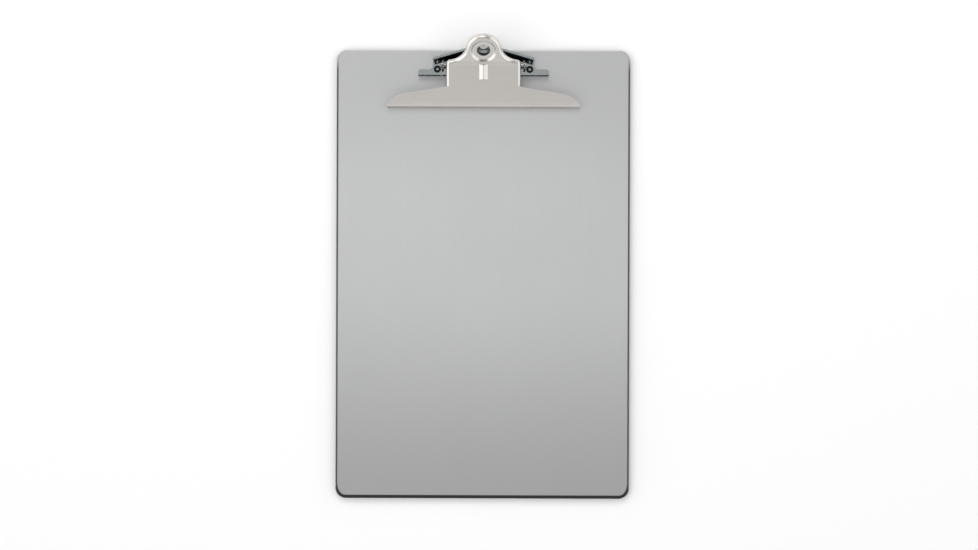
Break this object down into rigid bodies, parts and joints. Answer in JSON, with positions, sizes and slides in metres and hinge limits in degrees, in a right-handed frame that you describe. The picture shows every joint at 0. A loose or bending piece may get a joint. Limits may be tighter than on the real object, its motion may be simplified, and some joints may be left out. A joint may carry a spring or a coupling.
{
  "type": "clipboard",
  "caption": "Flat metal clipboard with round corners and a riveted, spring-loaded butterfly clip whose flanged lever has a wide jaw and a dished hanging ring.",
  "frame": {"origin": "centre of the board's back face", "axes": "+X across the board, +Y along the board towards the clip, +Z out of the writing face"},
  "size_m": [0.2286, 0.3606, 0.0315],
  "materials": {
    "board_sheet": "fine lengthwise brushed",
    "plate_steel": "bright nickel plate",
    "pin_steel": "turned, bright",
    "rivet_steel": "nickel plated",
    "lever_nickel": "satin nickel plate",
    "spring_wire": "drawn spring wire"
  },
  "bodies": {
    "base": {"board": "board_sheet", "base_plate": "plate_steel", "hinge_pin": "pin_steel", "left_rivet": "rivet_steel", "right_rivet": "rivet_steel", "torsion_spring": "spring_wire"},
    "lever": {"lever": "lever_nickel"}
  },
  "joints": [
    {"name": "lever_hinge", "type": "hinge", "parent": "base", "child": "lever", "pos_m": [0, 0.1622, 0.0105], "axis": [-1, 0, 0], "range_deg": [0, 40], "stiffness_Nm_per_rad": 0.5, "springref_deg": -51.57, "deforming": ["torsion_spring"]}
  ]
}
